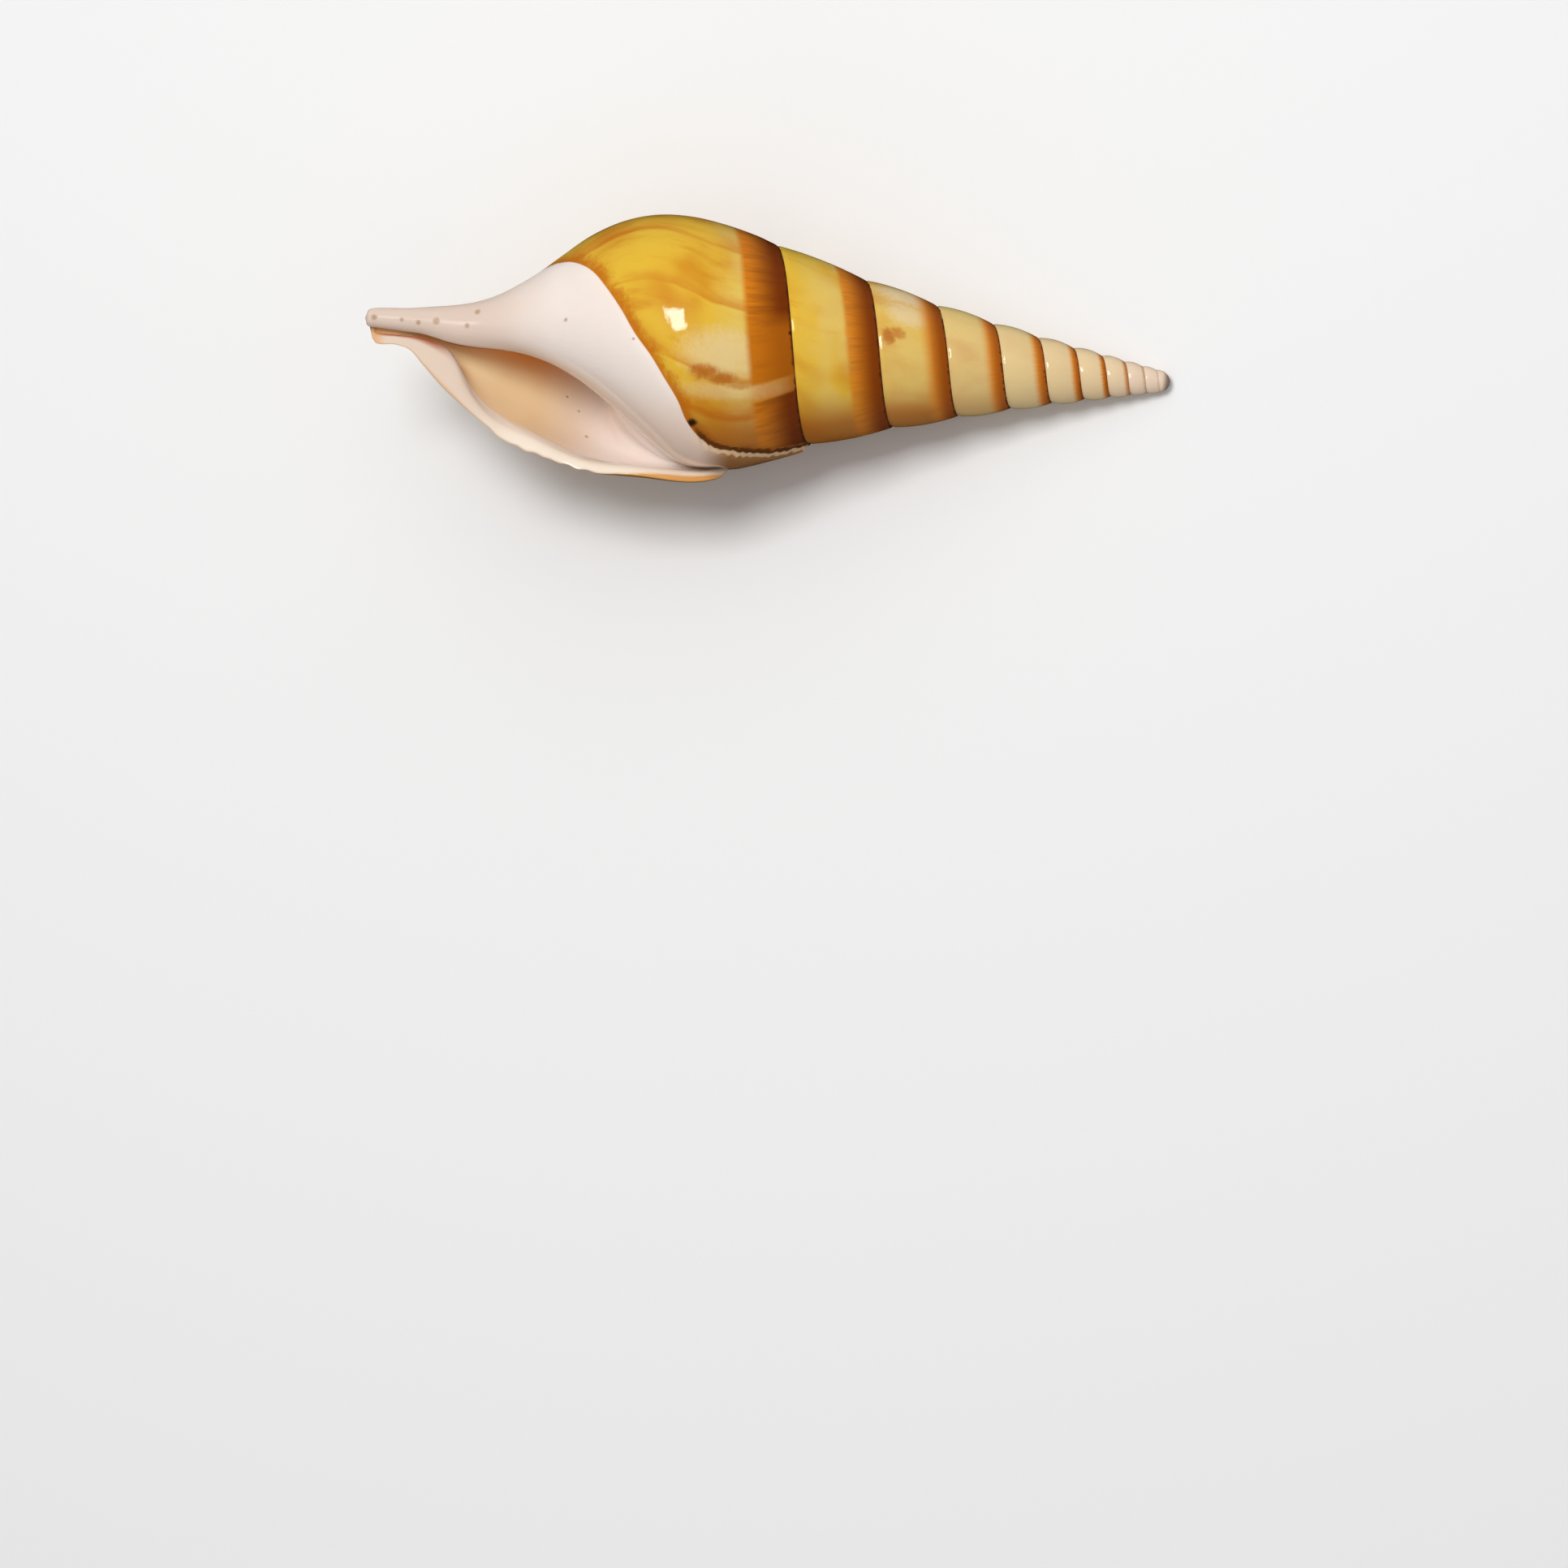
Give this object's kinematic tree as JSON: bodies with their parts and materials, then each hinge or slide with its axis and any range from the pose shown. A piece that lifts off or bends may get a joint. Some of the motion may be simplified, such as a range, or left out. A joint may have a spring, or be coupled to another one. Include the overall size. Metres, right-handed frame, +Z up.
{
  "type": "tibia curta shell",
  "caption": "Tall spired sea shell with a swollen body whorl, a straight open canal and a thick outer lip, lying on its back with its aperture up.",
  "frame": {"origin": "centre of the bounding box's bottom face, on the surface that the shell rests on", "axes": "+X towards the apex, -X towards the canal, -Y towards the outer lip, +Z up, out of the aperture"},
  "size_m": [0.1454, 0.0494, 0.0461],
  "materials": {
    "shell": "glossy aragonite: ochre and cream whorls with a brown band behind each suture, cream spire, and a porcelain-like pinkish white callus and lip"
  },
  "bodies": {
    "root": {"shell": "shell"}
  },
  "joints": []
}
